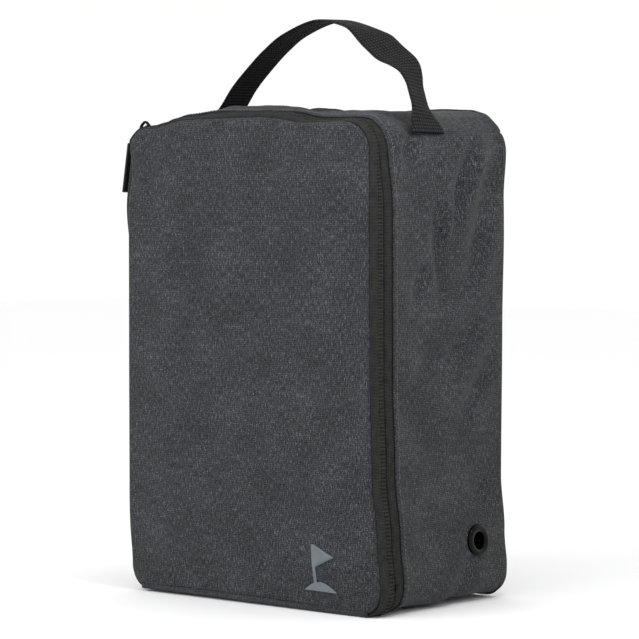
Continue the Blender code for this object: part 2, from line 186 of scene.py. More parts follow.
def thicken(piece, thickness, offset=-1.0):
    skin = piece.modifiers.new("Thickness", "SOLIDIFY")
    skin.thickness = thickness
    skin.offset = offset
    skin.use_even_offset = False
    skin.use_quality_normals = True


def refine(piece):
    fine = piece.modifiers.new("Fine", "SUBSURF")
    fine.levels = fine.render_levels = 1


def add_lining(name, mesh, body, node, cloth, thickness=0.0005):
    piece = link(name, mesh, body, LINING_CLOTH, (node,), cloth)
    thicken(piece, thickness)


def from_bmesh(sheet):
    mesh = bpy.data.meshes.new("mesh")
    sheet.to_mesh(mesh)
    sheet.free()
    return mesh


# The outline seen from the front: up the left side, over the top, down the right side.

def track(spacing):
    """Evenly spaced (x, z, outward x, outward z, distance) along the outline, corners included."""
    low_x, high_x, high_z = HALF_WIDTH - BASE_RADIUS, HALF_WIDTH - TOP_RADIUS, HEIGHT - TOP_RADIUS
    stretches = [
        # A corner is (centre, radius, start angle, end angle); an edge is (start, end, outward).
        ((-low_x, BASE_RADIUS), BASE_RADIUS, 270.0, 180.0),
        ((-HALF_WIDTH, BASE_RADIUS), (-HALF_WIDTH, high_z), (-1.0, 0.0)),
        ((-high_x, high_z), TOP_RADIUS, 180.0, 90.0),
        ((-high_x, HEIGHT), (high_x, HEIGHT), (0.0, 1.0)),
        ((high_x, high_z), TOP_RADIUS, 90.0, 0.0),
        ((HALF_WIDTH, high_z), (HALF_WIDTH, BASE_RADIUS), (1.0, 0.0)),
        ((low_x, BASE_RADIUS), BASE_RADIUS, 0.0, -90.0),
    ]
    points, along = [], 0.0
    for facts in stretches:
        rounded = len(facts) == 4
        if rounded:
            (cx, cz), radius, start, end = facts
            length = radius * math.radians(abs(end - start))
        else:
            (x0, z0), (x1, z1), (nx, nz) = facts
            length = math.hypot(x1 - x0, z1 - z0)
        steps = max(2, round(length / spacing))
        for i in range(1 if points else 0, steps + 1):
            t = i / steps
            if rounded:
                a = math.radians(start + (end - start) * t)
                nx, nz = math.cos(a), math.sin(a)
                x, z = cx + radius * nx, cz + radius * nz
            else:
                x, z = x0 + (x1 - x0) * t, z0 + (z1 - z0) * t
            points.append((x, z, nx, nz, along + length * t))
        along += length
    return points


def table(knots, value):
    """A smooth reading between (place, amount) knots."""
    for (a, low), (b, high) in zip(knots, knots[1:]):
        if value <= b:
            return low + (high - low) * smooth(a, b, value)
    return knots[-1][1]


# How the soft bag departs from the plain outline. Widths at the front and the back of the sides, by height.
RIGHT_FRONT = [
    (0.0, 0.0044), (0.022, 0.0046), (0.052, 0.0016), (0.10, -0.0034), (0.17, -0.0056), (0.32, -0.0060), (0.40, -0.0054)
]
RIGHT_BACK = [
    (0.0, 0.0044), (0.022, 0.0050), (0.050, 0.0020), (0.092, -0.0024), (0.20, -0.0016), (0.295, 0.0002),
    (0.335, 0.0034), (0.352, 0.0040), (0.40, 0.0040)
]
LEFT_BACK = [
    (0.0, 0.0040), (0.022, 0.0044), (0.055, 0.0010), (0.11, -0.0026), (0.20, -0.0014), (0.30, 0.0018), (0.40, 0.0006)
]
# Lift of the base's right edge by depth, and of its front edge by place across.
BASE_LIFT = [
    (-0.070, 0.0), (-0.056, 0.0012), (-0.034, 0.0030), (-0.020, 0.0020), (0.000, 0.0006), (0.018, 0.0038),
    (0.034, 0.0026), (0.050, 0.0034), (0.076, 0.0020)
]
FRONT_LIFT = [(-0.115, 0.0016), (-0.100, 0.0018), (-0.054, 0.0020), (0.006, 0.0014), (0.063, 0.0004), (0.090, 0.0)]
# Height of the stuffed top over the plain one: its crest by place across, and how it rises from front to back.
CREST = [
    (-0.116, 0.0), (-0.096, 0.0066), (-0.084, 0.0150), (-0.055, 0.0194), (-0.042, 0.0176), (-0.026, 0.0138),
    (-0.010, 0.0094), (0.008, 0.0088), (0.050, 0.0110), (0.063, 0.0112), (0.088, 0.0098), (0.100, 0.0068),
    (0.111, 0.0024), (0.122, 0.0)
]
RISE = [(-0.062, 0.0), (-0.049, 0.25), (-0.030, 0.78), (0.0, 0.96), (0.030, 1.0), (0.055, 0.97), (0.076, 0.84)]
PANEL_RISE = 0.0015
TAPE_RISE = 0.0028


def slump(place):
    """Where a point of the plain outline lies on the stuffed bag."""
    x, y, z = place
    behind = smooth(-0.052, 0.055, y)
    front = 1.0 - smooth(-0.066, -0.050, y)
    share = x / HALF_WIDTH
    if x > 0.0:
        dx = share * (table(RIGHT_FRONT, z) * (1.0 - behind) + table(RIGHT_BACK, z) * behind)
        hem = smooth(-0.0700, -0.0600, y) * (1.0 - smooth(-0.052, -0.030, y))
        dx -= 0.0045 * hem * smooth(0.290, 0.335, z) * smooth(0.080, 0.120, x)
    else:
        dx = share * table(LEFT_BACK, z) * behind
        dx -= 0.0026 * bump(z, 0.3405, 0.010) * smooth(0.104, 0.118, -x) * front
        on_panel = 1.0 - smooth(-0.0736, -0.0712, y)
        dx += 0.0012 * (1.0 - smooth(0.020, 0.050, z)) * smooth(0.100, 0.116, -x) * on_panel
        dx += 0.0042 * bump(z, 0.3165, 0.015) * smooth(0.106, 0.119, -x) * on_panel
        rim = (1.0 - on_panel) * (1.0 - smooth(-0.0690, -0.0640, y))
        dx -= 0.0050 * bump(z, 0.290, 0.028) * smooth(0.108, 0.119, -x) * rim
        edge_zone = 1.0 - smooth(-0.0690, -0.0640, y)
        straight = smooth(0.020, 0.070, z) * (1.0 - smooth(0.315, 0.340, z))
        dx -= 0.0020 * straight * smooth(0.100, 0.118, -x) * edge_zone
    strap = bump(y, -0.010, 0.019) * (smooth(0.070, 0.096, x) if x > 0.0 else smooth(0.052, 0.074, -x))
    rise = table(RISE, y) * (1.0 - 0.20 * smooth(0.030, 0.060, y) * (1.0 - smooth(-0.012, 0.020, x)))
    high = smooth(HEIGHT - 0.080, HEIGHT - 0.004, z)
    edge = 1.0 - smooth(0.086, 0.113, abs(x))
    tape = smooth(-0.0736, -0.0700, y)
    brim = (PANEL_RISE + TAPE_RISE * tape * smooth(-0.088, -0.020, x)) * (1.0 - 0.9 * smooth(0.025, 0.060, x))
    dz = high * (table(CREST, x) * rise * (1.0 - strap) + brim * (1.0 - rise) * edge)
    dz -= high * front * 0.0052 * bump(x, -0.094, 0.015)
    dz -= high * 0.0038 * smooth(0.010, 0.055, x) * (1.0 - smooth(-0.052, -0.036, y))
    shoulder = bump(x, -0.1165, 0.010) * bump(z, 0.3470, 0.011) * tape * (1.0 - smooth(-0.052, -0.044, y))
    dx -= 0.0024 * shoulder
    dz += 0.0024 * shoulder
    low = 1.0 - smooth(0.010, 0.050, z)
    dz += table(BASE_LIFT, y) * low * smooth(-0.045, 0.108, x)
    if x < 0.0:
        dz += 0.0014 * low * smooth(0.085, 0.104, -x) * behind
    dz += table(FRONT_LIFT, x) * low * (1.0 - smooth(-0.064, -0.010, y))
    dy = 0.0030 * behind * smooth(0.05, 0.075, y) * smooth(0.0, 0.1, z) * (1.0 - smooth(0.25, 0.36, z))
    return Vector((x + dx, y + dy, z + dz))


# Rounded panels: front, back and what lies behind them.

def corner(x, z, shape):
    """The rounded corner nearest to (x, z): its side, up or down, radius, and centre in the right half.

    A panel's shape is its half width, low and high edge, and the radius of its low and its high corners.
    """
    half, low, high, low_radius, high_radius = shape
    side = 1.0 if x > 0.0 else -1.0
    if z > (low + high) / 2:
        return side, 1.0, high_radius, half - high_radius, high - high_radius
    return side, -1.0, low_radius, half - low_radius, low + low_radius


def round_off(x, z, shape):
    """Moves a point of a rectangle's grid so that the rectangle's corners become round."""
    side, up, radius, centre_x, centre_z = corner(x, z, shape)
    a, b = (abs(x) - centre_x) / radius, (z - centre_z) * up / radius
    if a <= 0.0 or b <= 0.0:
        return x, z
    wide, tall = radius * a * math.sqrt(1.0 - b * b / 2.0), radius * b * math.sqrt(1.0 - a * a / 2.0)
    return side * (centre_x + wide), centre_z + up * tall


def outward(x, z, shape):
    """The outline's normal at a point on its edge."""
    side, up, radius, centre_x, centre_z = corner(x, z, shape)
    a, b = abs(x) - centre_x, (z - centre_z) * up
    if a > 1e-6 and b > 1e-6:
        size = math.hypot(a, b)
        return side * a / size, up * b / size
    if a > radius - 1e-5:
        return side, 0.0
    return 0.0, up


def panel_mesh(shape, spacing, depth_of, roll=0.0, roll_steps=4, flange=0.0, facing=-1.0):
    """A rounded panel in x and z at the depth depth_of(x, z), its edge rolled over and carried on as a flange.

    facing is -1 for a panel seen from the front and 1 for one seen from the back. Returns mesh and cloth coordinates.
    """
    half, low, high = shape[:3]
    across = round(2 * half / spacing)
    up = round((high - low) / spacing)
    verts, cloth, faces = [], [], []

    def add_face(quad):
        faces.append(quad if facing < 0 else quad[::-1])

    for j in range(up + 1):
        for i in range(across + 1):
            x, z = round_off(-half + 2 * half * i / across, low + (high - low) * j / up, shape)
            verts.append((x, depth_of(x, z), z))
            cloth.append((x, z, 0.0))
    stride = across + 1
    for j in range(up):
        for i in range(across):
            a = j * stride + i
            add_face((a, a + 1, a + 1 + stride, a + stride))
    loop = list(range(across))
    loop += [j * stride + across for j in range(up)]
    loop += [up * stride + i for i in range(across, 0, -1)]
    loop += [j * stride for j in range(up, 0, -1)]
    rings = []
    for k in range(1, roll_steps + 1):
        turn = math.radians(90.0 * k / roll_steps)
        rings.append((roll * math.sin(turn), roll * (1.0 - math.cos(turn))))
    if flange:
        rings.append((roll, roll + flange))
    previous = loop
    for out, back in rings:
        ring = []
        for v in loop:
            x, y, z = verts[v]
            nx, nz = outward(x, z, shape)
            ring.append(len(verts))
            verts.append((x + nx * out, y - facing * back, z + nz * out))
            cloth.append((x + nx * (out + back), z + nz * (out + back), 0.0))
        for a in range(len(loop)):
            b = (a + 1) % len(loop)
            add_face((previous[a], ring[a], ring[b], previous[b]))
        previous = ring
    return new_mesh(verts, faces), cloth


# Materials. Cloth coordinates are metres along the fabric, stored on each piece.

class Nodes:
    """A short way to build a node material."""

    def __init__(self, name):
        self.material = bpy.data.materials.new(name)
        self.material.use_nodes = True
        self.tree = self.material.node_tree
        self.shader = self.tree.nodes["Principled BSDF"]

    def join(self, source, target):
        self.tree.links.new(source, target)

    def add(self, kind, sockets, **settings):
        """A node with its settings, and its sockets set to numbers or joined to other nodes."""
        node = self.tree.nodes.new(kind)
        for key, value in settings.items():
            setattr(node, key, value)
        for key, value in sockets.items():
            if isinstance(value, bpy.types.NodeSocket):
                self.join(value, node.inputs[key])
            else:
                node.inputs[key].default_value = value
        return node

    def cloth(self, scale=(1.0, 1.0, 1.0), offset=(0.0, 0.0, 0.0)):
        """The stored cloth coordinates, scaled."""
        stored = self.add("ShaderNodeAttribute", {}, attribute_name="cloth").outputs["Vector"]
        return self.add("ShaderNodeMapping", {"Vector": stored, "Scale": scale, "Location": offset}).outputs["Vector"]

    def noise(self, vector, scale, detail=2.0, rough=0.5):
        sockets = {"Vector": vector, "Scale": scale, "Detail": detail, "Roughness": rough}
        return self.add("ShaderNodeTexNoise", sockets).outputs["Fac"]

    def wave(self, vector, scale, direction="X", distortion=0.0):
        sockets = {"Vector": vector, "Scale": scale, "Distortion": distortion}
        return self.add("ShaderNodeTexWave", sockets, wave_type="BANDS", bands_direction=direction).outputs["Fac"]

    def math(self, operation, a, b, clamp=False):
        return self.add("ShaderNodeMath", {0: a, 1: b}, operation=operation, use_clamp=clamp).outputs[0]

    def spread(self, value, low, high, to_low=0.0, to_high=1.0):
        sockets = {"Value": value, "From Min": low, "From Max": high, "To Min": to_low, "To Max": to_high}
        return self.add("ShaderNodeMapRange", sockets).outputs["Result"]

    def ramp(self, value, stops):
        node = self.add("ShaderNodeValToRGB", {"Fac": value})
        while len(node.color_ramp.elements) < len(stops):
            node.color_ramp.elements.new(0.5)
        for element, (place, colour) in zip(node.color_ramp.elements, stops):
            element.position = place
            element.color = (*colour, 1.0)
        return node.outputs["Color"]

    def bump(self, height, strength, distance):
        node = self.add("ShaderNodeBump", {"Height": height, "Strength": strength, "Distance": distance})
        self.join(node.outputs["Normal"], self.shader.inputs["Normal"])

    def set(self, **values):
        for key, value in values.items():
            self.shader.inputs[key.replace("_", " ")].default_value = value


def heather(name, dark, middle, light):
    """Two-tone melange weave: pale fibres in short upright streaks and fewer level ones, over a dark ground."""
    n = Nodes(name)
    upright = n.noise(n.cloth((900.0, 210.0, 1.0)), 1.0, 2.0, 0.6)
    fine = n.noise(n.cloth((1300.0, 760.0, 1.0), (0.3, 5.2, 0.0)), 1.0, 1.0, 0.5)
    level = n.noise(n.cloth((190.0, 1100.0, 1.0), (3.1, 1.7, 0.0)), 1.0, 2.0, 0.6)
    broad = n.noise(n.cloth((1.0, 1.0, 1.0), (0.4, 0.2, 0.0)), 30.0, 3.0, 0.5)
    warp = n.wave(n.cloth(), 230.0, "X", 0.5)
    weft = n.wave(n.cloth(), 230.0, "Y", 0.5)
    weave = n.math("MULTIPLY", warp, weft)
    streaks = n.spread(upright, 0.32, 0.76)
    slubs = n.spread(level, 0.50, 0.80)
    fibres = n.math("MAXIMUM", streaks, slubs)
    tone = n.math("ADD", n.math("MULTIPLY", fibres, 0.48), n.math("MULTIPLY", n.spread(fine, 0.29, 0.71), 0.38))
    tone = n.math("ADD", tone, n.math("MULTIPLY", n.spread(broad, 0.3, 0.7), 0.10))
    tone = n.math("ADD", tone, n.math("MULTIPLY", n.math("SUBTRACT", weave, 0.25), 0.22), clamp=True)
    n.join(n.ramp(tone, [(0.12, dark), (0.52, middle), (1.0, light)]), n.shader.inputs["Base Color"])
    height = n.math("ADD", n.math("MULTIPLY", weave, 0.7), n.math("MULTIPLY", fibres, 0.5))
    n.bump(height, 0.7, 0.0005)
    n.set(Roughness=0.95, Sheen_Weight=0.06, Sheen_Roughness=0.5, Specular_IOR_Level=0.15)
    return n.material


def woven(name, dark, light, threads, strength, roughness=0.85, twill=False):
    """A plain or twill weave with the given threads per metre."""
    n = Nodes(name)
    direction = "DIAGONAL" if twill else "X"
    warp = n.wave(n.cloth(), threads, direction, 0.6)
    weft = n.wave(n.cloth(), threads, "Y", 0.6)
    weave = n.math("MULTIPLY", warp, weft)
    cloudy = n.noise(n.cloth(), 160.0, 3.0, 0.6)
    tone = n.math("ADD", n.math("MULTIPLY", weave, 0.7), n.math("MULTIPLY", cloudy, 0.4), clamp=True)
    n.join(n.ramp(tone, [(0.15, dark), (0.95, light)]), n.shader.inputs["Base Color"])
    n.bump(n.math("ADD", weave, n.math("MULTIPLY", cloudy, 0.3)), strength, 0.0005)
    n.set(Roughness=roughness, Specular_IOR_Level=0.15)
    return n.material


def grained(name, dark, light, scale, strength, roughness, specular=0.4):
    """A moulded or coated surface with fine grain and slightly uneven gloss."""
    n = Nodes(name)
    place = n.add("ShaderNodeTexCoord", {}).outputs["Object"]
    grain = n.noise(place, scale, 4.0, 0.6)
    broad = n.noise(place, scale * 0.12, 2.0, 0.5)
    n.join(n.ramp(broad, [(0.3, dark), (0.7, light)]), n.shader.inputs["Base Color"])
    n.join(n.spread(grain, 0.3, 0.7, roughness * 0.85, min(1.0, roughness * 1.15)), n.shader.inputs["Roughness"])
    n.bump(grain, strength, 0.0002)
    n.set(Specular_IOR_Level=specular)
    return n.material


HEATHER = heather("heather_fabric", (0.0065, 0.0067, 0.0077), (0.036, 0.0370, 0.0415), (0.170, 0.174, 0.192))
LINING_CLOTH = woven("lining_fabric", (0.012, 0.012, 0.014), (0.035, 0.035, 0.040), 420.0, 0.3, 0.6)
BINDING = woven("binding_tape", (0.008, 0.008, 0.008), (0.030, 0.030, 0.030), 260.0, 0.5, 0.85, True)
TAPE = woven("zip_tape", (0.005, 0.0049, 0.0048), (0.078, 0.0770, 0.0750), 300.0, 0.9, 0.85)
WEBBING = woven("handle_webbing", (0.002, 0.002, 0.002), (0.036, 0.0355, 0.0355), 115.0, 1.0, 0.85)
THREAD = grained("sewing_thread", (0.090, 0.090, 0.096), (0.140, 0.140, 0.148), 4000.0, 0.3, 0.8)
COIL = grained("zip_coil", (0.012, 0.012, 0.012), (0.025, 0.025, 0.024), 2000.0, 0.2, 0.4)
METAL = grained("black_metal", (0.0012, 0.0012, 0.0012), (0.0024, 0.0024, 0.0024), 900.0, 0.03, 0.10, 0.12)
PULL = grained("pull_tab", (0.008, 0.0068, 0.0068), (0.015, 0.012, 0.012), 1500.0, 0.25, 0.5, 0.25)
FOAM = grained("foam", (0.28, 0.28, 0.29), (0.38, 0.38, 0.39), 1200.0, 0.8, 0.95)
BOARD = grained("base_board", (0.015, 0.015, 0.015), (0.025, 0.025, 0.025), 600.0, 0.3, 0.6)
PRINT = grained("emblem_print", (0.095, 0.115, 0.130), (0.125, 0.145, 0.160), 700.0, 0.25, 0.6)


# The case behind the zip.

CREASE_FACTOR = 1.45
SIDE_CREASES = [
    # y, z, half length, half width, turn from upright in degrees, depth
    (0.024, 0.302, 0.034, 0.0060, 14.0, 0.0056),
    (0.002, 0.266, 0.034, 0.0055, -6.0, 0.0044),
    (0.046, 0.262, 0.045, 0.0100, 14.0, 0.0050),
    (-0.016, 0.236, 0.0055, 0.020, -62.0, 0.0042),
    (0.026, 0.190, 0.030, 0.009, 50.0, 0.0042),
    (-0.004, 0.182, 0.024, 0.006, 55.0, 0.0038),
    (0.044, 0.155, 0.028, 0.008, 35.0, 0.0038),
    (0.026, 0.020, 0.022, 0.007, 40.0, 0.0030),
    (0.050, 0.085, 0.020, 0.012, -30.0, 0.0026),
    (-0.028, 0.332, 0.013, 0.0070, 20.0, 0.0060),
    (-0.044, 0.320, 0.022, 0.0060, 10.0, -0.0026),
    (0.040, 0.318, 0.020, 0.0080, 14.0, -0.0030),
    (0.012, 0.286, 0.024, 0.0070, 10.0, -0.0022),
]


def crease(y, z):
    """Inward depth of the soft creases on a side wall."""
    depth = 0.0
    for cy, cz, length, width, turn, deep in SIDE_CREASES:
        a = math.radians(turn)
        dy, dz = y - cy, z - cz
        along = dz * math.cos(a) + dy * math.sin(a)
        across = dy * math.cos(a) - dz * math.sin(a)
        depth += CREASE_FACTOR * deep * math.exp(-(along / length) ** 2 - (across / width) ** 2)
    return depth


GUSSET_SPACING = 0.003
GUSSET_ROW = 0.0028
HEM_RISE = 0.0005
SEAM_GROOVE = 0.0005
vent_low, vent_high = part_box("vent_eyelet_right")
EYELET_Y = (vent_low.y + vent_high.y) / 2
EYELET_Z = (vent_low.z + vent_high.z) / 2
VENT_HOLE = 0.0078
BACK_SEAM_Y = BACK_Y - 0.0015


def vent_reach(point):
    return math.hypot(point.y - EYELET_Y, point.z - EYELET_Z)


def gusset_rows():
    """The strip of fabric from the zip to the back seam as rows of points, with its outward normals."""
    path = track(GUSSET_SPACING)
    y_front, y_back = HEM_Y, BACK_SEAM_Y
    steps = round((y_back - y_front) / GUSSET_ROW)
    rows, normals = [], []
    for x, z, nx, nz, along in path:
        row = []
        for j in range(steps + 1):
            y = y_front + (y_back - y_front) * j / steps
            inside = smooth(0.0, 0.016, y - y_front) * smooth(0.0, 0.012, y_back - y)
            free = inside * smooth(0.004, 0.020, z)
            mirrored_z = z if x > 0.0 else HEIGHT - 0.03 - z * 0.92
            free *= 1.0 - math.exp(-((y - EYELET_Y) ** 2 + (z - EYELET_Z) ** 2) / 0.019 ** 2) * abs(nx)
            push = -crease(y, mirrored_z) * abs(nx) * free
            push += free * 0.0016 * ripple((x, y * 1.6, z), 0.045, 7.0)
            push += free * 0.0006 * ripple((x, y, z), 0.016, 11.0)
            push += HEM_RISE * (1.0 - smooth(0.004, 0.012, y - y_front))
            row.append(slump((x + nx * push, y, z + nz * push)))
        rows.append(row)
        normals.append(Vector((nx, 0.0, nz)))
    return path, rows, normals


def relax(rows, fixed, frames=22, cap=0.0045, passes=10):
    """Lets a sheet settle as cloth that is a little too large between its fixed edges.

    fixed(i, j) is how firmly a point is held. No point moves more than cap, and the movement is smoothed.
    """
    across = len(rows[0])
    held = np.array([[fixed(i, j) for j in range(across)] for i in range(len(rows))])
    scene = bpy.context.scene
    piece = bpy.data.objects.new("settling_sheet", grid_mesh(rows))
    scene.collection.objects.link(piece)
    start = np.array([v.co for v in piece.data.vertices])
    group = piece.vertex_groups.new(name="held")
    for index, weight in enumerate(held.ravel()):
        if weight > 0.0:
            group.add([index], float(weight), "REPLACE")
    cloth = piece.modifiers.new("Cloth", "CLOTH")
    settings = {
        "quality": 6, "mass": 0.25, "tension_stiffness": 25.0, "compression_stiffness": 25.0, "shear_stiffness": 8.0,
        "bending_stiffness": 6.0, "air_damping": 3.0, "vertex_group_mass": "held", "shrink_min": -0.005,
        "use_pressure": True, "uniform_pressure_force": 0.6,
    }
    for key, value in settings.items():
        setattr(cloth.settings, key, value)
    cloth.settings.effector_weights.gravity = 0.15
    for timed in (scene, cloth.point_cache):
        timed.frame_start, timed.frame_end = 1, frames
    for frame_number in range(1, frames + 1):
        scene.frame_set(frame_number)
    settled = piece.evaluated_get(bpy.context.evaluated_depsgraph_get())
    moved = np.array([v.co for v in settled.to_mesh().vertices])
    settled.to_mesh_clear()
    bpy.data.objects.remove(piece)
    scene.frame_set(1)
    shift = moved - start
    size = np.linalg.norm(shift, axis=1, keepdims=True)
    shift = (shift * np.minimum(1.0, cap / np.maximum(size, 1e-9))).reshape(len(rows), across, 3)
    loose = (1.0 - held)[:, :, None]
    for _ in range(passes):
        around = np.pad(shift, ((1, 1), (1, 1), (0, 0)), mode="edge")
        shift = loose * (around[:-2, 1:-1] + around[2:, 1:-1] + around[1:-1, :-2] + around[1:-1, 2:]) / 4
    return [[Vector(p) for p in row] for row in start.reshape(len(rows), across, 3) + shift]


def panels_between(path):
    """Index ranges of the left side, top and right side along the outline."""
    seam_z = HEIGHT - TOP_RADIUS + TOP_RADIUS * math.sin(SEAM_ANGLE)
    high = [i for i, p in enumerate(path) if p[1] >= seam_z]
    return {"left_side": (0, high[0]), "top": (high[0], high[-1]), "right_side": (high[-1], len(path) - 1)}


def open_vent(sheet):
    """Cuts the round vent hole: drops the faces inside it and draws the rim onto the circle."""
    inside = [f for f in sheet.faces if vent_reach(f.calc_center_median()) < VENT_HOLE and abs(f.normal.x) > 0.5]
    bmesh.ops.delete(sheet, geom=inside, context="FACES")
    for v in sheet.verts:
        size = vent_reach(v.co)
        if v.is_boundary and size < VENT_HOLE * 1.5:
            v.co.y = EYELET_Y + (v.co.y - EYELET_Y) * VENT_HOLE / size
            v.co.z = EYELET_Z + (v.co.z - EYELET_Z) * VENT_HOLE / size


def build_gusset():
    """The sides and the top: fabric outside, lining inside, in three panels with grooved seams between them."""
    path, rows, normals = gusset_rows()
    last_row, last = len(rows) - 1, len(rows[0]) - 1
    ranges = panels_between(path)
    seams = ranges["top"]

    def fixed(i, j):
        if j <= 1 or j >= last or i == 0 or i == last_row or vent_reach(rows[i][j]) < 0.012:
            return 1.0
        return 0.25 if i in seams else 0.0

    rows = relax(rows, fixed)
    for i in seams:
        for row, share in ((i - 1, 0.4), (i, 1.0), (i + 1, 0.4)):
            rows[row] = [p - normals[row] * SEAM_GROOVE * share for p in rows[row]]
    for part, (first, end) in ranges.items():
        chosen = rows[first:end + 1]
        lining_rows = [
            [p - normals[first + i] * (WALL - 0.0002 + 0.0004 * ripple(p, 0.02, 5.0)) for p in row]
            for i, row in enumerate(chosen)
        ]
        flat = [(p.y, path[first + i][4]) for i, row in enumerate(chosen) for p in row]
        cloth = [((b, a, 0.0) if part == "top" else (a, b, 0.0)) for a, b in flat]
        pieces = []
        for suffix, node, finish, layer in (
            ("fabric", "panel", HEATHER, chosen), ("lining_cloth", "lining", LINING_CLOTH, lining_rows)
        ):
            mesh = grid_mesh(layer)
            pieces.append(link(f"{part}_{suffix}", mesh, "case", finish, (f"{part}_{node}",), cloth, False))
            if part != "top":
                reshaped(mesh, open_vent)
        fabric, lining = pieces
        refine(fabric)
        thicken(fabric, FABRIC, 1.0)
        thicken(lining, 0.0004)
    return path, rows, normals


path, gusset, gusset_normals = build_gusset()


def level_rows(low, high, height_of):
    """Rows of points over a level rectangle, at the heights height_of(x, y)."""
    columns, depth = 52, 36
    rows = []
    for i in range(columns + 1):
        x = low[0] + (high[0] - low[0]) * i / columns
        line = [low[1] + (high[1] - low[1]) * j / depth for j in range(depth + 1)]
        rows.append([Vector((x, y, height_of(x, y))) for y in line])
    return rows


def build_base():
    """The base's fabric, the stiff board on it and the lining over the board."""
    half = HALF_WIDTH - BASE_RADIUS - 0.0002

    def lift(x, y):
        return 0.0007 * (0.5 + 0.5 * ripple((x, y, 0.0), 0.03, 2.0)) * smooth(0.0, 0.012, half - abs(x))

    rows = level_rows((-half, FRONT_Y + 0.006), (half, BACK_SEAM_Y), lift)
    cloth = [(p.x, p.y, 0.0) for row in rows for p in row]
    base = link("base_fabric", grid_mesh(rows), "case", HEATHER, ("base_panel",), cloth)
    thicken(base, FABRIC)
    low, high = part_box("base_board")
    board_rows = level_rows(low, high, lambda x, y: low.z)
    board = link("base_board_sheet", grid_mesh(board_rows), "case", BOARD, ("base_board",))
    thicken(board, high.z - low.z)
    top_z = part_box("base_lining")[1].z
    inner = [
        [Vector((p.x * 0.99, max(p.y, FRONT_Y + 0.0065), top_z + 0.0006 * ripple(p, 0.02, 4.0))) for p in row]
        for row in rows
    ]
    add_lining("base_lining_cloth", grid_mesh(inner), "case", "base_lining", cloth)


build_base()


# Back panel, padded, with its edge rolled into the seam.

PANEL_ROLL = 0.0045


def back_depth(x, z):
    edge_x = smooth(0.0, 0.05, HALF_WIDTH - abs(x))
    edge_z = smooth(0.0, 0.05, HEIGHT - z) * smooth(0.0, 0.05, z)
    crown = 0.0035 * edge_x * edge_z
    return BACK_Y - 0.0008 + crown + 0.0010 * edge_x * edge_z * ripple((x, 0.0, z), 0.07, 9.0)


def line_panel(name, node, body, low_gap, cut, depth, seed, facing):
    """The faintly rippled lining behind a panel, its corners tighter than the outline's by cut."""
    low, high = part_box(node)
    shape = (high.x, low.z + low_gap, high.z, BASE_RADIUS - cut, TOP_RADIUS - cut)
    mesh, cloth = panel_mesh(
        shape, 0.006, lambda x, z: depth + 0.0006 * ripple((x, 0.0, z), 0.03, seed), facing=facing
    )
    add_lining(name, mesh, body, node, cloth)


def build_back():
    inset = PANEL_ROLL
    shape = (HALF_WIDTH - inset, inset * 0.6, HEIGHT - inset, BASE_RADIUS - inset, TOP_RADIUS - inset)
    mesh, cloth = panel_mesh(shape, 0.004, back_depth, roll=PANEL_ROLL, facing=1.0)
    back = link("back_fabric", mesh, "case", HEATHER, ("back_panel",), cloth)
    thicken(back, FABRIC)
    refine(back)
    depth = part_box("back_lining")[0].y - 0.0004
    line_panel("back_lining_cloth", "back_lining", "case", 0.0, 0.0026, depth, 6.0, -1.0)


build_back()


# The flap: padded front panel, lining and foam.

FRONT_ROLL = 0.0030
FRONT_HALF = 0.1193
FRONT_SHIFT = -0.0012
FRONT_HIGH = HEIGHT - 0.0010
FRONT_LOW = 0.0036


def front_depth(x, z):
    """Where the front face lies: crowned over its foam, flatter at the base, with faint ripples near the seams."""
    edge_x = smooth(-0.004, 0.045, FRONT_HALF - abs(x))
    edge_top = smooth(-0.004, 0.050, FRONT_HIGH - z)
    edge_low = smooth(-0.002, 0.035, z - FRONT_LOW)
    inside = edge_x * edge_top * edge_low
    crown = 0.0036 * inside
    waves = 0.0010 * ripple((x, 0.0, z * 0.7), 0.055, 1.0) + 0.0004 * ripple((x, 0.0, z), 0.022, 4.0)
    left_fold = 0.0012 * bump(x, -0.104, 0.006) * smooth(0.24, 0.31, z) * smooth(0.0, 0.02, FRONT_HIGH - z)
    return FRONT_Y - 0.0004 - crown - waves * smooth(-0.002, 0.03, FRONT_HALF - abs(x)) - left_fold


def build_flap():
    inset = FRONT_ROLL
    radii = BASE_RADIUS - inset, TOP_RADIUS - inset
    shape = (FRONT_HALF - inset, FRONT_LOW + inset * 0.4, FRONT_HIGH - inset, *radii)
    mesh, cloth = panel_mesh(shape, 0.0035, front_depth, roll=FRONT_ROLL)
    for vertex in mesh.vertices:
        vertex.co.x += FRONT_SHIFT
    front = link("front_fabric", mesh, "flap", HEATHER, ("front_panel",), cloth)
    thicken(front, FABRIC)
    refine(front)
    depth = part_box("front_lining")[1].y + 0.0003
    line_panel("front_lining_cloth", "front_lining", "flap", 0.001, 0.0029, depth, 8.0, 1.0)


build_flap()


def build_foam(name, body, node):
    low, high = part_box(node)
    margin, roll, cut = 0.0040, 0.0012, 0.006
    shape = (high.x - margin, low.z + margin, high.z - margin, BASE_RADIUS - cut, TOP_RADIUS - cut)
    mesh, cloth = panel_mesh(
        shape, 0.012, lambda x, z: low.y + 0.0002 * ripple((x, 0.0, z), 0.02, 2.0), roll, 2, high.y - low.y - 2 * roll
    )
    piece = link(name, mesh, body, FOAM, (node,), cloth)
    thicken(piece, high.y - low.y - 0.0002)


build_foam("front_foam_pad", "flap", "front_foam")
build_foam("back_foam_pad", "case", "back_foam")


# Zip.

RIB_PITCH = 0.0017
WIRE_SIDES = 6


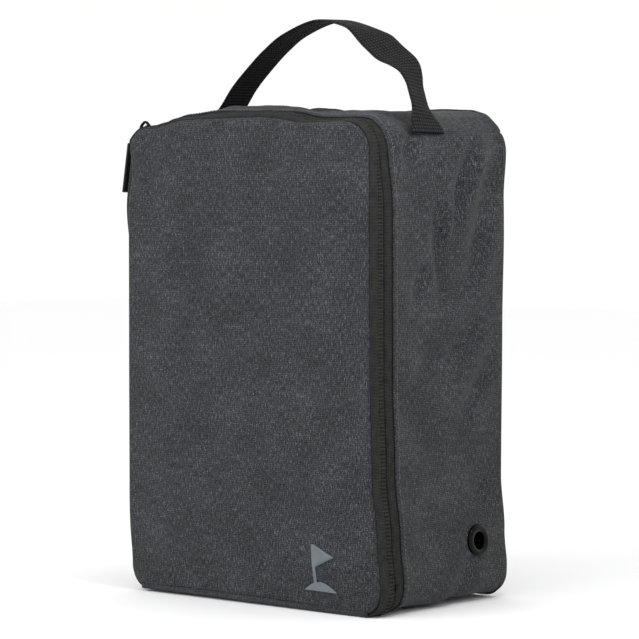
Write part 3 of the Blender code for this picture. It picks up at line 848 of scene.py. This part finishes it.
def build_tape(name, node, body, seam_y, split_y, drop):
    """One half of the tape, ribbed along its inner edge where the coil is sewn behind it."""
    rows, cloth = [], []
    for x, z, nx, nz, along in track(RIB_PITCH / 4):
        row = []
        for share in (0.0, 0.2, 0.4, 0.58, 0.64, 0.70, 0.80, 0.88, 0.94, 0.97, 1.0):
            y = seam_y + (split_y - seam_y) * share
            rib = smooth(0.58, 0.70, share) * (1.0 - smooth(0.94, 1.0, share))
            height = 0.00045 * rib * (1.0 + math.cos(2 * math.pi * along / RIB_PITCH)) + 0.0003 * rib
            height -= drop * (1.0 - smooth(0.0, 0.5, share)) + 0.0014 * smooth(0.94, 1.0, share)
            height -= 0.0004
            row.append((x + nx * height, y, z + nz * height))
            cloth.append((along, y, 0.0))
        rows.append(row)
    thicken(link(name, grid_mesh(rows), body, TAPE, (node,), cloth), 0.0006)


def build_coil(name, node, body, edge_y, toward, phase):
    """Coil loops along one half, each a bent wire that crosses the centre line."""
    inset = HALF_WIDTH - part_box(node)[1].x
    profile = [(-0.0009, 0.0), (0.0, 0.00055), (0.0010, 0.0004), (0.0021, 0.0)]
    radius = 0.00042
    verts, faces = [], []
    for x, z, nx, nz, along in track(RIB_PITCH / 2)[phase::2]:
        faces += wire_faces(len(verts), len(profile), WIRE_SIDES)
        for out, rise in profile:
            depth = inset + 0.0006 + rise
            for c, s in circle(WIRE_SIDES):
                across, deep = radius * c, radius * s - depth
                verts.append((x - nz * across + nx * deep, edge_y + toward * out, z + nx * across + nz * deep))
    link(name, new_mesh(verts, faces), body, COIL, (node,))


build_tape("zip_tape_on_flap", "zip_tape_front", "flap", tape_front_low.y - 0.0005, ZIP_Y - 0.0006, 0.0008)
build_tape("zip_tape_on_case", "zip_tape_rear", "case", tape_rear_high.y + 0.0015, ZIP_Y + 0.0006, 0.0006)
build_coil("zip_coil_on_flap", "zip_coil_front", "flap", tape_front_high.y, -1.0, 0)
build_coil("zip_coil_on_case", "zip_coil_rear", "case", tape_rear_low.y, 1.0, 1)


def build_topstitch(length=0.0024, radius=0.00024):
    """Topstitching along the case's folded edge beside the zip: short rounded stitches."""
    verts, faces = [], []
    for i in range(1, len(path) - 1):
        out = gusset_normals[i]
        point = gusset[i][1] + out * 0.0002
        direction = (gusset[i + 1][1] - gusset[i - 1][1]).normalized()
        side = direction.cross(out).normalized()
        profile = ((-0.5, 0.25), (-0.36, 1.0), (0.0, 1.15), (0.36, 1.0), (0.5, 0.25))
        faces += wire_faces(len(verts), len(profile), WIRE_SIDES)
        for share, size in profile:
            centre = point + direction * (length * share) + out * (radius * (1.0 - abs(share)) - radius * 0.6)
            for c, s in circle(WIRE_SIDES):
                verts.append(centre + side * (radius * size * c) - out * (radius * size * s))
    link("hem_stitching", new_mesh(verts, faces), "case", THREAD, slumped=False, slot="heather_fabric")


build_topstitch()


def build_hem():
    """The folded edge of the case fabric, a slim roll standing on the tape."""
    rows, cloth = [], []
    radius, sides = 0.0009, 8
    for line, normal, place in zip(gusset, gusset_normals, path):
        centre = line[0] - normal * (radius * 0.55)
        rows.append([centre + Vector((0.0, -radius * c, 0.0)) + normal * (radius * s) for c, s in circle(sides)])
        cloth += [(place[4], radius * 2 * math.pi * k / sides, 0.0) for k in range(sides)]
    refine(link("hem_roll", grid_mesh(rows, True), "case", HEATHER, (), cloth, False))


build_hem()


# Bindings over the inside seams.

def build_binding(name, node, body):
    low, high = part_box(node)
    inset = HALF_WIDTH - high.x
    middle, half = (low.y + high.y) / 2, (high.y - low.y) / 2
    rows, cloth = [], []
    for x, z, nx, nz, along in track(0.004):
        row = []
        for k in range(11):
            a = 2 * math.pi * (0.03 + 0.94 * k / 10)
            deep = inset + 0.00075 * (1.0 - math.cos(a) * 0.95) + 0.00012 * ripple((x, a, z), 0.01, 1.0)
            y = middle + half * math.sin(a) * (0.96 + 0.04 * math.cos(along * 300))
            row.append((x - nx * deep, y, z - nz * deep))
            cloth.append((along, half * a, 0.0))
        rows.append(row)
    piece = link(name, grid_mesh(rows), body, BINDING, (node,), cloth)
    thicken(piece, 0.0004, 0.0)
    refine(piece)


build_binding("front_binding_tape", "front_seam_binding", "flap")
build_binding("back_binding_tape", "back_seam_binding", "case")


# The fold of fabric at the base of the flap.

def build_hinge_fold():
    half = HALF_WIDTH - 0.012
    rows, cloth = [], []
    steps, columns = 16, 70
    radius = 0.0016
    for i in range(columns + 1):
        x = -half + 2 * half * i / columns
        row = []
        for j in range(steps + 1):
            t = j / steps
            turn = math.radians(90.0 * min(1.0, max(0.0, (t - 0.4) / 0.4)))
            y = FRONT_Y + 0.0010 + 0.010 * max(0.0, 1.0 - t / 0.4) - radius * math.sin(turn)
            z = 0.0003 + radius * (1.0 - math.cos(turn)) + 0.0020 * max(0.0, (t - 0.8) / 0.2)
            y -= 0.0003 * ripple((x, 0.0, z), 0.02, 5.0) * smooth(0.3, 0.7, t)
            row.append((x, y, z))
            cloth.append((x, 0.02 * t, 0.0))
        rows.append(row)
    fold = link("base_fold", grid_mesh(rows), None, HEATHER, (), cloth)
    thicken(fold, 0.0010, 0.0)
    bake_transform(fold)


build_hinge_fold()


# Emblem printed on the front.

def build_emblem():
    low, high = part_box("emblem")
    sheet = bmesh.new()
    sheet.from_mesh(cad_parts["emblem"].data)
    weld(sheet)
    middle = (low.y + high.y) / 2
    bmesh.ops.delete(sheet, geom=[v for v in sheet.verts if v.co.y > middle], context="VERTS")
    bmesh.ops.subdivide_edges(sheet, edges=sheet.edges[:], cuts=5, use_grid_fill=True)
    for v in sheet.verts:
        v.co.y = front_depth(v.co.x - FRONT_SHIFT, v.co.z) - 0.00022
    sheet.normal_update()
    thicken(link("emblem_patch", from_bmesh(sheet), "flap", PRINT, ("emblem",)), 0.0004, 1.0)


build_emblem()


# Handle.

HANDLE_ROUTE = [
    (-0.1165, 0.3432), (-0.1090, 0.3515), (-0.0985, 0.3560), (-0.0850, 0.3600), (-0.0745, 0.3655), (-0.0610, 0.3815),
    (-0.0450, 0.3960), (-0.0290, 0.4085), (-0.0100, 0.4195), (0.0200, 0.4280), (0.0465, 0.4235), (0.0650, 0.4135),
    (0.0800, 0.4020), (0.0915, 0.3950), (0.0985, 0.3875), (0.1025, 0.3785), (0.1065, 0.3665), (0.1115, 0.3535),
    (0.1160, 0.3432),
]
loop_low, loop_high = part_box("handle_webbing")
HANDLE_Y = (loop_low.y + loop_high.y) / 2
HANDLE_WIDTH = loop_high.y - loop_low.y
WEBBING_THICKNESS = 0.0019
LEG_TURN = math.radians(-15.0)
FACE_TURN = math.radians(18.0)


def smooth_route(points, steps):
    padded = [points[0]] + points + [points[-1]]
    route = []
    for i in range(1, len(padded) - 2):
        window = padded[i - 1:i + 3]
        for step in range(steps):
            t = step / steps
            route.append(tuple(
                0.5 * (2 * b + (c - a) * t + (2 * a - 5 * b + 4 * c - d) * t * t + (3 * b - a - 3 * c + d) * t ** 3)
                for a, b, c, d in zip(*window)
            ))
    return route + [points[-1]]


def build_handle():
    route = smooth_route(HANDLE_ROUTE, 14)
    rows, cloth = [], []
    along = 0.0
    half_thick = WEBBING_THICKNESS / 2
    shares = (-1.0, -0.97, -0.9, -0.6, -0.3, 0.0, 0.3, 0.6, 0.9, 0.97, 1.0)
    section = [(share, 1.0 - 0.75 * smooth(0.88, 1.0, abs(share))) for share in shares]
    ring = section + [(share, -side) for share, side in reversed(section)]
    for i, (x, z) in enumerate(route):
        x0, z0 = route[max(0, i - 1)]
        x1, z1 = route[min(len(route) - 1, i + 1)]
        size = math.hypot(x1 - x0, z1 - z0)
        nx, nz = -(z1 - z0) / size, (x1 - x0) / size
        if i:
            along += math.hypot(x - route[i - 1][0], z - route[i - 1][1])
        spread = 1.0 + 0.20 * (1.0 - smooth(0.343, 0.362, z))
        turn = math.radians(2.5) * math.sin(along * 11.0)
        if x > 0.0:
            turn += LEG_TURN * smooth(0.346, 0.366, z) * (1.0 - smooth(0.376, 0.394, z))
            turn += FACE_TURN * smooth(0.386, 0.402, z) * (1.0 - smooth(0.410, 0.424, z))
        row = []
        for share, side in ring:
            width = share * HANDLE_WIDTH / 2 * spread
            deep = side * half_thick * math.cos(turn) + width * math.sin(turn)
            wide = width * math.cos(turn) - side * half_thick * math.sin(turn)
            row.append((x + nx * deep, HANDLE_Y + wide, z + nz * deep))
            cloth.append((along, width, 0.0))
        rows.append(row)
    handle = link("handle_strap", grid_mesh(rows, True), None, WEBBING,
                  ("handle_webbing", "handle_root_left", "handle_root_right"), cloth, False)
    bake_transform(handle)


build_handle()


# Metal parts.

def turned_ring(name, node, profile, side):
    """A turned ring whose axis lies along X, from a closed profile of (radius, distance out of the wall)."""
    low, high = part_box(node)
    cy, cz = (low.y + high.y) / 2, (low.z + high.z) / 2
    rows = [[(side * (HALF_WIDTH + out), cy + r * c, cz + r * s) for r, out in profile] for c, s in circle(72)]
    link(name, ring_mesh(rows), "case", METAL, (node,))


def build_eyelets():
    low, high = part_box("vent_eyelet_right")
    flange, bore, hole = (high.z - low.z) / 2 + 0.0007, 0.0065, 0.0079
    middle, roll = (flange + bore) / 2, (flange - bore) / 2
    rim = []
    for k in range(13):
        a = math.pi * (1.0 - k / 12)
        rim.append((middle + roll * math.cos(a), 0.0010 + 0.0021 * math.sin(a) ** 0.7))
    rim += [(flange, 0.0), (bore + 0.001, 0.0), (bore + 0.001, -0.0040), (bore, -0.0042), (bore, -0.001)]
    washer = [
        (hole, -0.0026), (flange - 0.0005, -0.0026), (flange, -0.0030), (flange - 0.0005, -0.0038),
        (hole + 0.0006, -0.0042), (hole, -0.0036),
    ]
    for name, side in (("left", -1.0), ("right", 1.0)):
        turned_ring(f"eyelet_{name}", f"vent_eyelet_{name}", rim, side)
        turned_ring(f"washer_{name}", f"vent_washer_{name}", washer, side)


build_eyelets()


BAR_SIDES = 10


def bent_bar(path, wide, deep):
    """A closed bar along a path in the plane y = 0: wide is its half width in y, deep its half thickness."""
    rows = []
    for i, (a, b) in enumerate(path):
        a0, b0 = path[max(0, i - 1)]
        a1, b1 = path[min(len(path) - 1, i + 1)]
        size = math.hypot(a1 - a0, b1 - b0)
        na, nb = -(b1 - b0) / size * deep, (a1 - a0) / size * deep
        rows.append([(a + na * s, wide * c, b + nb * s) for c, s in circle(BAR_SIDES)])
    return reshaped(grid_mesh(rows, True), fill_ends, face_out)


def rounded_plate(outline, low, high, edge=0.0003):
    """A plate whose outline lies in (y, z), from x = low to x = high, with softened edges."""
    sheet = bmesh.new()
    face = sheet.faces.new([sheet.verts.new((low, y, z)) for y, z in outline])
    grown = bmesh.ops.extrude_face_region(sheet, geom=[face])
    for v in (g for g in grown["geom"] if isinstance(g, bmesh.types.BMVert)):
        v.co.x = high
    face_out(sheet)
    sharp = [e for e in sheet.edges if e.calc_face_angle(0.0) > 0.6]
    bmesh.ops.bevel(sheet, geom=sharp, offset=edge, segments=2, profile=0.6, affect="EDGES")
    return from_bmesh(sheet)


SLIDER_OUTLINE = [
    (-0.0026, -0.0045), (0.0026, -0.0045), (0.0040, -0.0020), (0.0041, 0.0022), (0.0030, 0.0045), (-0.0030, 0.0045),
    (-0.0041, 0.0022), (-0.0040, -0.0020),
]
BRIDGE_PATH = [
    (-0.0006, 0.0042), (-0.0026, 0.0043), (-0.0045, 0.0039), (-0.0055, 0.0028), (-0.0059, 0.0010), (-0.0058, -0.0012),
    (-0.0050, -0.0028), (-0.0036, -0.0038), (-0.0006, -0.0040),
]


def build_link(name, route, half=0.0021, deep=0.0014, wire=0.0009):
    """A bar bent into a long ring that follows a route in x and z, from the slider's bridge to the tab's eye."""
    fine = [Vector((x, 0.0, z)) for x, z in smooth_route(route, 8)]
    reach = [0.0]
    for p, q in zip(fine, fine[1:]):
        reach.append(reach[-1] + (q - p).length)
    end = reach[-1]

    def at(distance):
        place = min(max(distance, 0.0), end - 1e-7)
        i = next(k for k in range(len(reach) - 1) if reach[k + 1] > place)
        direction = (fine[i + 1] - fine[i]).normalized()
        return fine[i] + direction * (distance - reach[i]), direction.cross(Vector((0.0, 1.0, 0.0)))

    turns = [(half * math.sin(t), half * math.cos(t)) for t in (math.pi * k / 8 for k in range(9))]
    straight = [half + (end - 2 * half) * k / 8 for k in range(1, 8)]
    outline = [(half - s, c) for s, c in turns] + [(d, -half) for d in straight]
    outline += [(end - half + s, -c) for s, c in turns] + [(d, half) for d in reversed(straight)]
    centres, normals = [], []
    for distance, y in outline:
        point, normal = at(distance)
        centres.append(point + Vector((0.0, ZIP_Y + y, 0.0)))
        normals.append(normal)
    rows = []
    for i, (centre, normal) in enumerate(zip(centres, normals)):
        forward = (centres[(i + 1) % len(centres)] - centres[i - 1]).normalized()
        across = forward.cross(normal)
        rows.append([centre + normal * (deep * s) + across * (wire * c) for c, s in circle(BAR_SIDES)])
    link(f"{name}_bar", ring_mesh(rows), name.replace("_link", ""), METAL, (name,), None, False)


def build_slider(name, centre, turn=0.0, out=0.0):
    """A slider with its body outside the tape, a post, an inner plate and a bridge that the pull hangs from."""
    post = [(-0.0004, 0.0024), (0.0004, 0.0024), (0.0004, 0.0040), (-0.0004, 0.0040)]
    sheet = bmesh.new()
    for mesh in (
        rounded_plate(SLIDER_OUTLINE, -0.0016, -0.0003),
        rounded_plate([(y * 0.95, z * 0.95) for y, z in SLIDER_OUTLINE], 0.0030, 0.0038),
        rounded_plate(post, -0.0008, 0.0034, 0.0001),
        bent_bar([(1.14 * x, 1.12 * z) for x, z in smooth_route(BRIDGE_PATH, 4)], 0.0014, 0.0011),
    ):
        sheet.from_mesh(mesh)
    mesh = from_bmesh(sheet)
    mesh.transform(Matrix.Translation(centre) @ Matrix.Rotation(turn, 4, "Y") @ Matrix.Translation((-out, 0.0, 0.0)))
    link(f"{name}_metal", mesh, name, METAL, (name,), None, False)


def build_stops():
    """The bent metal stops that close the tape's two ends."""
    for side_name, side in (("left", -1.0), ("right", 1.0)):
        low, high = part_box(f"zip_stop_{side_name}")
        outline = [(low.y, low.z), (high.y, low.z), (high.y, high.z), (low.y, high.z)]
        mesh = rounded_plate(outline, side * (HALF_WIDTH - 0.0002), side * (HALF_WIDTH + 0.0009), 0.00035)
        link(f"stop_{side_name}", mesh, "case", METAL, (f"zip_stop_{side_name}",))


lower_low, lower_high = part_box("lower_slider")
build_slider(
    "upper_slider", Vector((TOP_RADIUS - HALF_WIDTH, ZIP_Y, HEIGHT - TOP_RADIUS)), math.radians(42.0),
    TOP_RADIUS + 0.0022,
)
build_slider("lower_slider", Vector((-HALF_WIDTH, ZIP_Y, (lower_low.z + lower_high.z) / 2)))
build_link("upper_pull_link", [(-0.1146, 0.3508), (-0.1204, 0.3496), (-0.1268, 0.3452), (-0.1313, 0.3402)])
build_link("lower_pull_link", [(-0.1240, 0.2840), (-0.1244, 0.2780), (-0.1243, 0.2710), (-0.1238, 0.2648)])
build_stops()

for node_name in ("upper_pull_tab", "lower_pull_tab"):
    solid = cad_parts[node_name]
    solid.data.materials.clear()
    solid.data.materials.append(PULL)
    edge = solid.modifiers.new("Edges", "BEVEL")
    edge.width = 0.00035
    edge.segments = 2
    edge.limit_method = "ANGLE"


# Floor, light and camera.

def build_stage():
    bpy.ops.mesh.primitive_plane_add(size=12.0, location=(0.0, 0.0, -0.0002))
    floor = bpy.context.object
    floor.name = "floor"
    n = Nodes("pale_floor")
    n.set(Base_Color=(0.96, 0.96, 0.96, 1.0), Roughness=0.9)
    floor.data.materials.append(n.material)
    world = bpy.data.worlds.new("studio")
    bpy.context.scene.world = world
    world.use_nodes = True
    world.node_tree.nodes["Background"].inputs["Color"].default_value = (1.0, 1.0, 1.0, 1.0)
    world.node_tree.nodes["Background"].inputs["Strength"].default_value = 1.02
    for name, place, size, power in (
        ("key", (-0.6, -2.0, 1.2), 1.6, 20.5),
        ("right_top", (0.34, -0.14, 0.50), 0.12, 0.60),
        ("top", (0.0, 0.2, 2.6), 1.6, 1.0),
    ):
        lamp = bpy.data.lights.new(name, "AREA")
        lamp.size = size
        lamp.energy = power
        light = bpy.data.objects.new(name, lamp)
        light.location = place
        light.rotation_euler = (Vector((0.0, 0.0, 0.18)) - Vector(place)).to_track_quat("-Z", "Y").to_euler()
        bpy.context.scene.collection.objects.link(light)


def build_camera():
    azimuth, elevation = math.radians(CAMERA_AZIMUTH), math.radians(CAMERA_ELEVATION)
    back = Vector((
        math.sin(azimuth) * math.cos(elevation), -math.cos(azimuth) * math.cos(elevation), math.sin(elevation)
    ))
    right = Vector((math.cos(azimuth), math.sin(azimuth), 0.0))
    target = right * CAMERA_TARGET_RIGHT + Vector((0.0, 0.0, CAMERA_TARGET_HEIGHT))
    data = bpy.data.cameras.new("camera")
    data.sensor_width = 36.0
    data.lens = CAMERA_LENS
    camera = bpy.data.objects.new("camera", data)
    camera.location = target + back * CAMERA_DISTANCE
    camera.rotation_euler = (-back).to_track_quat("-Z", "Y").to_euler()
    bpy.context.scene.collection.objects.link(camera)
    bpy.context.scene.camera = camera


build_stage()
build_camera()
bpy.context.scene.view_settings.view_transform = "Standard"
